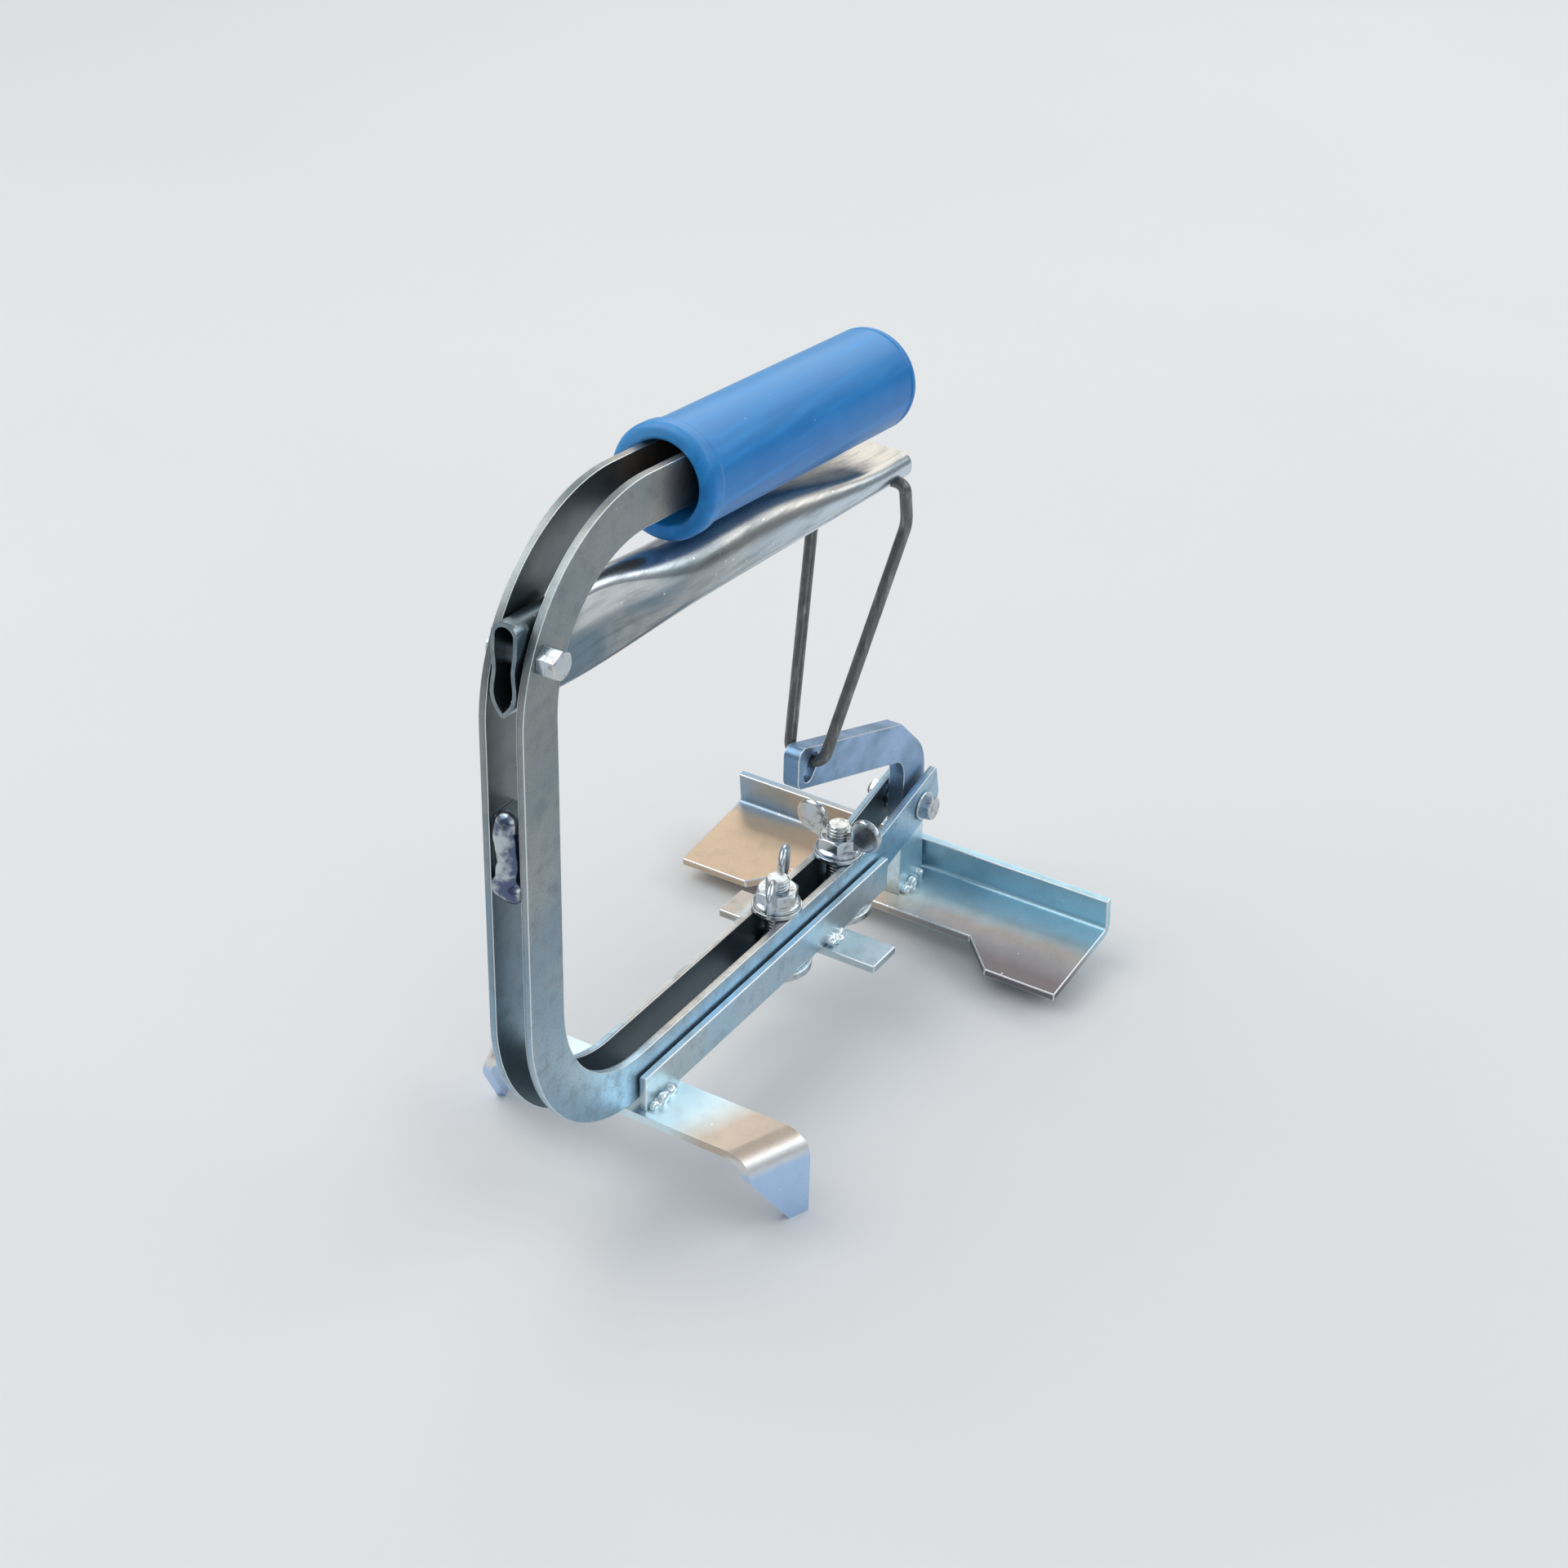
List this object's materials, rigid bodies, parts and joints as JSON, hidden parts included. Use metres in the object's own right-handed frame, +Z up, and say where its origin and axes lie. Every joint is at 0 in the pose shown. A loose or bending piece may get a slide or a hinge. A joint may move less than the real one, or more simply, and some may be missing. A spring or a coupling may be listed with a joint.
{
  "type": "paving block laying clamp",
  "caption": "Hand clamp for laying paving blocks: bent flat-bar frame with a sleeved grip, squeeze lever, wire link and rocker closing a rear jaw towards a sliding front jaw.",
  "frame": {"origin": "middle of the box over the ground that the clamp stands on, on its two ear tips and the rear jaw's edge, with the lever squeezed", "axes": "+X to the right, along the jaws; +Y to the rear, from the column to the rear jaw; +Z up"},
  "size_m": [0.152, 0.2488, 0.2501],
  "materials": {
    "zinc_plate": "bright blue-passivated zinc plating on flat bar and strip",
    "zinc_tube": "bright zinc plating on pressed tube",
    "link_wire": "dull dark steel wire",
    "grip_blue": "satin moulded plastic",
    "weld_bead": "zinc-plated weld metal",
    "zinc_fastener": "bright zinc-plated fasteners",
    "bush_steel": "turned steel"
  },
  "bodies": {
    "frame": {"frame_plate_right": "zinc_plate", "frame_plate_left": "zinc_plate", "column_spacer": "zinc_plate", "column_weld": "weld_bead", "grip": "grip_blue", "lever_pivot_bolt": "zinc_fastener", "lever_pivot_washers": "zinc_fastener", "lever_pivot_nut": "zinc_fastener", "lever_bush": "bush_steel", "rocker_pivot_bolt": "zinc_fastener", "rocker_pivot_washers": "zinc_fastener", "rocker_pivot_nut": "zinc_fastener", "rocker_bush": "bush_steel"},
    "lever": {"lever_tube": "zinc_tube"},
    "link": {"link_wire": "link_wire"},
    "rocker": {"rocker_plate": "zinc_plate", "rear_jaw": "zinc_plate", "rear_jaw_welds": "weld_bead"},
    "carriage": {"front_jaw_strip": "zinc_plate", "side_bar_right": "zinc_plate", "side_bar_left": "zinc_plate", "cross_strip": "zinc_plate", "carriage_welds": "weld_bead", "clamp_bolt_front": "zinc_fastener", "clamp_bolt_rear": "zinc_fastener", "clamp_washer_front": "zinc_fastener", "clamp_washer_rear": "zinc_fastener"},
    "front_wing_nut": {"wing_nut_front": "zinc_fastener"},
    "rear_wing_nut": {"wing_nut_rear": "zinc_fastener"}
  },
  "joints": [
    {"name": "lever_squeeze", "type": "hinge", "parent": "frame", "child": "lever", "pos_m": [0, -0.11168, 0.2097], "axis": [1, 0, 0], "range_deg": [-6.6, 0]},
    {"name": "link_swing", "type": "hinge", "parent": "lever", "child": "link", "pos_m": [0, 0.06699, 0.19187], "axis": [1, 0, 0], "range_deg": [0, 1.62]},
    {"name": "rocker_swing", "type": "hinge", "parent": "frame", "child": "rocker", "pos_m": [0, 0.10908, 0.0472], "axis": [1, 0, 0], "range_deg": [0, 13.9]},
    {"name": "carriage_slide", "type": "slide", "parent": "frame", "child": "carriage", "axis": [0, 1, 0], "range_m": [-0.06, 0]},
    {"name": "front_wing_nut_turn", "type": "hinge", "parent": "carriage", "child": "front_wing_nut", "pos_m": [0, 0.02408, 0.0513], "axis": [0, 0, 1], "continuous": true},
    {"name": "rear_wing_nut_turn", "type": "hinge", "parent": "carriage", "child": "rear_wing_nut", "pos_m": [0, 0.06358, 0.0513], "axis": [0, 0, 1], "continuous": true}
  ],
  "couplings": [
    {"joint": "link_swing", "follows": "lever_squeeze", "ratio": -0.2439},
    {"joint": "rocker_swing", "follows": "lever_squeeze", "ratio": -2.105}
  ]
}
